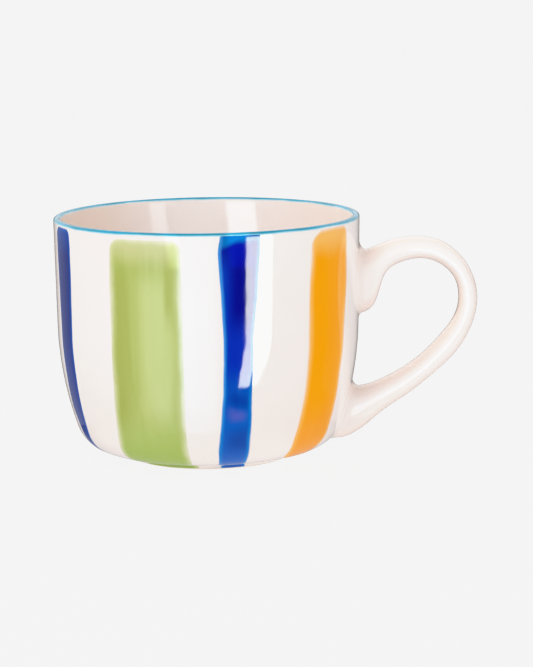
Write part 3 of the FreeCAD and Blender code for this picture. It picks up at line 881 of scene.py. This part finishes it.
ORANGE = dict(core=rgb(255, 166, 4), deep=rgb(255, 158, 0), rim=rgb(255, 190, 104), top=rgb(255, 194, 108),
              foot=rgb(252, 160, 54), feather=0.95, fringe=3.0, streak=0.7,
              washes=[(0.30, 0.36, 0.10, 0.76, rgb(255, 164, 0), 0.8),
                      (0.82, 0.30, 0.06, 0.80, rgb(255, 164, 20), 0.7)])
PAINTS = dict(blue=BLUE, blue_left=BLUE_LEFT, green=GREEN, orange=ORANGE)

place(glazed_wall(), WHITE_GLAZE, "white_glaze", "outer_glaze")

# the rim line: from the outside over the lip to the inside
outer_ends = [CUP.length_at_height(z) for z in (RIM_SKIN_OUTSIDE, MUG_HEIGHT - LIP_ROUNDING)]
outer_part = [CUP.at(s)[0] for s in np.linspace(*outer_ends, 12)]
LINING_CURVE = Outline(vessel_outline(INSIDE))
inner_top = LINING_CURVE.length_at_height(RIM_SKIN_INSIDE)
inner_part = [LINING_CURVE.at(s)[0] for s in np.linspace(LINING_CURVE.total, inner_top, 8)]
rim_outline = Outline(outer_part + lip_outline()[1:] + inner_part[1:])
rim_s = np.linspace(0, rim_outline.total, 64)
rim_points, rim_normals = rim_outline.at(rim_s)
outside_edge = RIM_LINE_OUTSIDE + RIM_LINE_THINNED - RIM_SKIN_OUTSIDE
inside_edge = rim_outline.total - (RIM_LINE_INSIDE - RIM_SKIN_INSIDE)
rim_edge = np.minimum(rim_s - outside_edge, inside_edge - rim_s)
rim_lift = -0.02 + 0.05 * smooth(-0.3, 0.5, rim_edge)
rim_front = rim_points + rim_normals * rim_lift[:, None]
rim_loop = thick_loop(rim_front, rim_normals, 0.25, 3)
back_count = len(rim_loop) - len(rim_front)
rim_values = np.concatenate([rim_edge, np.full(back_count, -1.0)])
place(turned("rim_line", rim_loop, dict(edge=rim_values)), RIM, "turquoise_glaze", "rim_band")

# the lining, with the floor of the cup
lining_points = LINING_CURVE.points[LINING_CURVE.lengths <= inner_top + 0.6]
lining_normals = -LINING_CURVE.normals[:len(lining_points)]
flat = np.array([[r, INSIDE["flat_height"]] for r in np.linspace(0, INSIDE["flat_radius"], 20)[:-1]])
flat_normals = np.tile([0.0, 1.0], (len(flat), 1))
lining_points = np.concatenate([flat, lining_points])
lining_normals = np.concatenate([flat_normals, lining_normals])
lining_loop = thick_loop(lining_points, lining_normals, GLAZE)
place(turned("cup_lining", lining_loop), LINING, "cream_glaze", "inner_glaze")

# the glazed recess inside the foot
recess = np.array([FOOT_INNER_RADIUS, FOOT_HEIGHT])
side = np.array([FOOT_INNER_RADIUS, GLAZE_LINE])
centre = np.array([0.0, FOOT_HEIGHT])
recess_points = line(side, recess - [0, POOL_RADIUS], 0.4)[:-1] + \
    pooled_corner(side, recess, centre, POOL_RADIUS) + line(recess - [POOL_RADIUS, 0], centre, 1.2)[1:]
recess_curve = Outline(recess_points)
recess_loop = thick_loop(recess_curve.points, -recess_curve.normals, GLAZE)
place(turned("recess_glaze", recess_loop), WHITE_GLAZE, "white_glaze", "base_glaze")

for number, (name, colour, *shape) in enumerate(STRIPES):
    paint = stripe_paint(name + "_paint", number + 1, **PAINTS[colour])
    place(stripe(name + "_paint", *shape), paint, colour.split("_")[0] + "_glaze", name)

HANDLE_PIECES = build_handle()
for piece, node in zip(HANDLE_PIECES, ("handle_glaze", "handle_upper_slip", "handle_lower_slip")):
    place(piece, HANDLE_GLAZE, "white_glaze", node)

for name in ("cup_body", "foot_ring", "handle"):
    thing = frame["nodes"][name]
    thing.data.materials.clear()
    thing.data.materials.append(CLAY)

# ---------------------------------------------------------------- floor, light and camera

AIM = Vector((0.0, 0.0, 0.040))
DISTANCE = 0.900            # of the camera from there, in metres
ELEVATION = 9.43            # degrees that it looks down
TURN_RIGHT = 1.217          # degrees that bring the whole mug, handle included, to the middle
ROLL = 0.93
LENS = 184.66

WHITE_POINT = 2.0           # the brightest light that is still told from white
SHOULDER = [(0.86, 0.86), (1.06, 0.945), (WHITE_POINT, 0.965)]
TABLE_RADIUS = 0.062        # the floor round the mug that shows in its glaze
TABLE_GLOW = 0.50           # brightness of that floor beside the foot and at its edge
TABLE_EDGE = 0.16
FRONT_DARK = 0.05           # brightness of the room in the glaze, in front and behind
BACK_BRIGHT = 0.40
CEILING = 0.5
OVER_THE_BACK = 1.0         # brightness of the wall behind and above the mug, mirrored in its lip
FLOOR_OWN_LIGHT = 0.95      # share of the floor's brightness that it gives off itself
BOUNCE = 1.12               # how much more light the floor gives the mug than the camera sees in it
WORLD_LIGHT = 0.90
SHADED_SIDE = 0.35          # share of that light that comes from the right


def make_floor(name, inner, outer, in_glaze):
    """A flat ring of floor. Only the part close to the mug is mirrored in the glaze."""
    turns = 96
    radii = np.geomspace(max(inner, 0.01), outer, 10)
    angles = np.arange(turns) * 2 * math.pi / turns
    points = [(r * math.cos(a), r * math.sin(a), 0.0) for r in radii for a in angles]
    faces = ring_faces(len(radii), turns)
    if inner == 0:
        faces.append(tuple(range(turns)))
    floor = add_object(name, points, faces)
    material = bpy.data.materials.new(name + "_paper")
    t = Tree(material)
    path = t.node("LightPath").outputs
    matt = t.node("BsdfDiffuse", (0.90, 0.90, 0.90)).outputs[0]
    glow = t.node("Emission", (0.972, 0.972, 0.972), t.ramp(path["Is Diffuse Ray"], 0.0, 1.0, 1.0, BOUNCE))
    paper = t.node("MixShader", FLOOR_OWN_LIGHT, matt, glow.outputs[0]).outputs[0]
    distance = t.node("VectorMath", t.node("TexCoord").outputs["Object"], operation="LENGTH").outputs["Value"]
    fade = t.ramp(distance, 0.030, TABLE_RADIUS, TABLE_GLOW, TABLE_EDGE)
    mirrored = t.node("Emission", (1.0, 1.0, 1.0), fade)
    seen = t.node("MixShader", path["Is Glossy Ray"], paper, mirrored.outputs[0])
    t.node("OutputMaterial", seen.outputs[0])
    floor.data.materials.append(material)
    floor.visible_glossy = in_glaze


def soft_box(name, where, aim, width, height, radiance, glossy_only=True):
    """A lit panel at a place in metres, facing another."""
    light = bpy.data.lights.new(name, "AREA")
    light.shape = "RECTANGLE"
    light.size = width
    light.size_y = height
    light.energy = radiance * math.pi * width * height
    box = bpy.data.objects.new(name, light)
    look = (Vector(aim) - Vector(where)).to_track_quat("-Z", "Y").to_matrix().to_4x4()
    box.matrix_world = Matrix.Translation(where) @ look
    bpy.context.scene.collection.objects.link(box)
    box.visible_camera = False
    box.visible_diffuse = not glossy_only
    return box


def around(azimuth, distance, height):
    """A place in metres at an angle from the front; to the right is positive."""
    a = math.radians(azimuth)
    return (distance * math.sin(a), -distance * math.cos(a), height)


class WorldNodes(Tree):
    """The studio that lights the mug, by direction: right, back and rise each go from -1 to 1."""

    def __init__(self):
        world = bpy.data.worlds.new("studio")
        bpy.context.scene.world = world
        super().__init__(world)
        self.way = self.node("TexCoord").outputs["Generated"]
        self.right, self.back, self.rise = self.split(self.way)

    def lobe(self, azimuth, inner, outer, strength):
        """A soft upright strip of light, fading from the inner to the outer angle to each side."""
        flat = self.node("VectorMath", self.way, (1, 1, 0), operation="MULTIPLY").outputs[0]
        unit = self.node("VectorMath", flat, operation="NORMALIZE").outputs[0]
        a = math.radians(azimuth)
        middle = (math.sin(a), -math.cos(a), 0)
        dot = self.node("VectorMath", unit, middle, operation="DOT_PRODUCT").outputs["Value"]
        edges = math.cos(math.radians(outer)), math.cos(math.radians(inner))
        upright = self.math("MULTIPLY", self.ramp(self.rise, 0.05, 0.35, 1.0, 0.0),
                            self.ramp(self.rise, -0.80, -0.50))
        return self.math("MULTIPLY", self.ramp(dot, *edges, 0.0, strength), upright)

    def background(self, strength, colour):
        return self.node("Background", colour, strength).outputs[0]


def make_world():
    """Plain white for matt light, and for gloss a darker front with soft strips of light."""
    w = WorldNodes()
    table = (-0.85, -0.55)      # over this rise the table gives way to the wall
    above = (0.00, 0.10)        # and over this one the wall's lower part to its upper part
    level = w.ramp(w.rise, *table)
    low_back = w.math("MULTIPLY", w.ramp(w.back, 0.86, 0.97, 1.0, 0.12), w.ramp(w.rise, *above, 1.0, 0.0))
    high_back = w.ramp(w.rise, *above, 0.0, OVER_THE_BACK / BACK_BRIGHT)
    wall = w.ramp(w.back, 0.28, 0.78, FRONT_DARK, BACK_BRIGHT)
    wall = w.math("MULTIPLY", wall, w.math("ADD", low_back, high_back))
    wall = w.math("MULTIPLY", wall, level)
    wall = w.math("ADD", wall, w.ramp(w.rise, *table, TABLE_EDGE, 0.0))
    wall = w.math("ADD", wall, w.ramp(w.rise, 0.15, 0.60, 0.0, CEILING))
    front = w.math("ADD", w.lobe(-7.0, 8.0, 17.0, 1.25), w.lobe(-30.0, 6.0, 27.0, 0.35))
    gloss = w.node("AddShader", w.background(wall, (1.0, 1.0, 1.0)), w.background(front, (0.9, 1.9, 2.5)))
    from_right = w.ramp(w.right, 0.30, 0.85, WORLD_LIGHT, WORLD_LIGHT * SHADED_SIDE)
    plain = w.background(from_right, (1.0, 0.99, 0.98))
    glossy = w.node("LightPath").outputs["Is Glossy Ray"]
    w.node("OutputWorld", w.node("MixShader", glossy, plain, gloss.outputs[0]).outputs[0])


def make_camera():
    camera = bpy.data.cameras.new("camera")
    camera.sensor_fit = "HORIZONTAL"
    camera.sensor_width = 36.0
    camera.lens = LENS
    eye = bpy.data.objects.new("camera", camera)
    bpy.context.scene.collection.objects.link(eye)
    e = math.radians(ELEVATION)
    where = AIM + Vector((0, -math.cos(e), math.sin(e))) * DISTANCE
    look = (AIM - where).to_track_quat("-Z", "Y").to_matrix().to_4x4()
    turn = Matrix.Rotation(math.radians(-ROLL), 4, "Z") @ Matrix.Rotation(math.radians(-TURN_RIGHT), 4, "Y")
    eye.matrix_world = Matrix.Translation(where) @ look @ turn
    bpy.context.scene.camera = eye


make_floor("table", 0.0, TABLE_RADIUS, True)
make_floor("floor", TABLE_RADIUS, 8.0, False)
make_world()
make_camera()
MIDDLE = (0.0, 0.0, 0.04)
soft_box("right_box", around(114.0, 0.80, -0.05), around(114.0, 0.05, -0.05), 0.40, 0.50, 0.10)
key = soft_box("key_box", around(-42.0, 0.55, 0.90), MIDDLE, 0.7, 0.7, 2.5, glossy_only=False)
fill = soft_box("fill_box", around(74.0, 1.20, 0.12), MIDDLE, 1.1, 0.5, 2.2, glossy_only=False)
key.visible_glossy = fill.visible_glossy = False


def light_only(box, pieces):
    """The lit panel shows in these pieces and in no others."""
    seen = bpy.data.collections.new(box.name + "_shows_in")
    for piece in pieces:
        seen.objects.link(piece)
    box.light_linking.receiver_collection = seen


CUP_PIECES = [o for o in bpy.data.objects if o.name.startswith(("glazed_wall", "rim_line", "stroke"))]


def glowing_panel(name, corners, radiance, colour):
    """A lit sheet that only gloss reflects. Its corners are (azimuth, elevation) from the mug, in degrees."""
    far = 0.70
    places = []
    for azimuth, elevation in corners:
        a, e = math.radians(azimuth), math.radians(elevation)
        places.append((far * math.sin(a), -far * math.cos(a), 0.055 + far * math.tan(e)))
    panel = add_object(name, places, [tuple(range(len(places)))])
    material = bpy.data.materials.new(name)
    t = Tree(material)
    t.node("OutputMaterial", t.node("Emission", colour, radiance).outputs[0])
    panel.data.materials.append(material)
    panel.visible_camera = False
    panel.visible_diffuse = False
    panel.visible_shadow = False
    return panel


# the window: its left side leans, its foot is level and its right side bends in towards the foot
WINDOW_CORNERS = [(28.4, -4.0), (26.8, -12.0), (24.4, -20.0), (22.6, -26.0), (31.0, -26.0), (37.0, -24.8),
                  (42.0, -21.0), (45.6, -15.0), (47.0, -10.0), (48.0, -4.0)]
light_only(glowing_panel("window_panel", WINDOW_CORNERS, 15.4, (1.0, 0.99, 0.78)), CUP_PIECES)
for reach, radiance in ((0.15, 4.2), (0.50, 1.2), (0.90, 1.1)):
    strip = soft_box("handle_glow", around(0.0, 0.50, -0.040), (0, 0, 0.045),
                     2 * reach, 1.2 * reach, radiance)
    light_only(strip, HANDLE_PIECES)


def make_inside_bands():
    """Two upright bands of window light on the far wall inside the cup, from a slotted spotlight."""
    where = Vector((0.0, -0.300, 0.135))
    light = bpy.data.lights.new("inside_bands", "SPOT")
    light.spot_size = math.radians(36)
    light.spot_blend = 0.1
    light.shadow_soft_size = 0.0008
    light.energy = 1.3
    light.color = (0.86, 1.0, 1.06)
    t = Tree(light)
    right, up, ahead = t.split(t.node("TexCoord").outputs["Normal"])

    def within(value, middle, half, soft):
        """1 where value is nearer to middle than half, and 0 outside."""
        away = t.math("ABSOLUTE", t.math("SUBTRACT", value, middle))
        return t.ramp(away, half - soft, half + soft, 1.0, 0.0)

    side = t.math("DIVIDE", right, ahead)
    fall = t.math("DIVIDE", up, ahead)
    lean = t.math("ADD", side, t.math("MULTIPLY", t.math("SUBTRACT", fall, 0.163), 0.097))
    wide = within(lean, -0.0334, 0.0140, 0.0018)
    narrow = t.math("MULTIPLY", within(lean, 0.0495, 0.0078, 0.0014), 0.55)
    level = within(fall, 0.214, 0.0495, 0.0020)
    slots = t.math("MULTIPLY", t.math("ADD", wide, narrow), level)
    t.node("OutputLight", t.node("Emission", (1.0, 1.0, 1.0), slots).outputs[0])
    lamp = bpy.data.objects.new("inside_bands", light)
    look = Vector((0, 1, 0)).to_track_quat("-Z", "Y").to_matrix().to_4x4()
    lamp.matrix_world = Matrix.Translation(where) @ look
    bpy.context.scene.collection.objects.link(lamp)
    lamp.visible_glossy = False


make_inside_bands()


def soft_highlights():
    """Rolls the brightest light off gently, as film does, so that gloss on white keeps its shape."""
    view = bpy.context.scene.view_settings
    view.view_transform = "Standard"
    view.use_curve_mapping = True
    curves = view.curve_mapping
    curves.white_level = (WHITE_POINT, WHITE_POINT, WHITE_POINT)
    curve = curves.curves[3]
    curve.points[0].location = (0.0, 0.0)
    curve.points[1].location = (1.0, SHOULDER[-1][1])
    for light, shown in SHOULDER[:-1]:
        curve.points.new(light / WHITE_POINT, shown)
    for point in curve.points:
        point.handle_type = "VECTOR"
    curves.update()


soft_highlights()
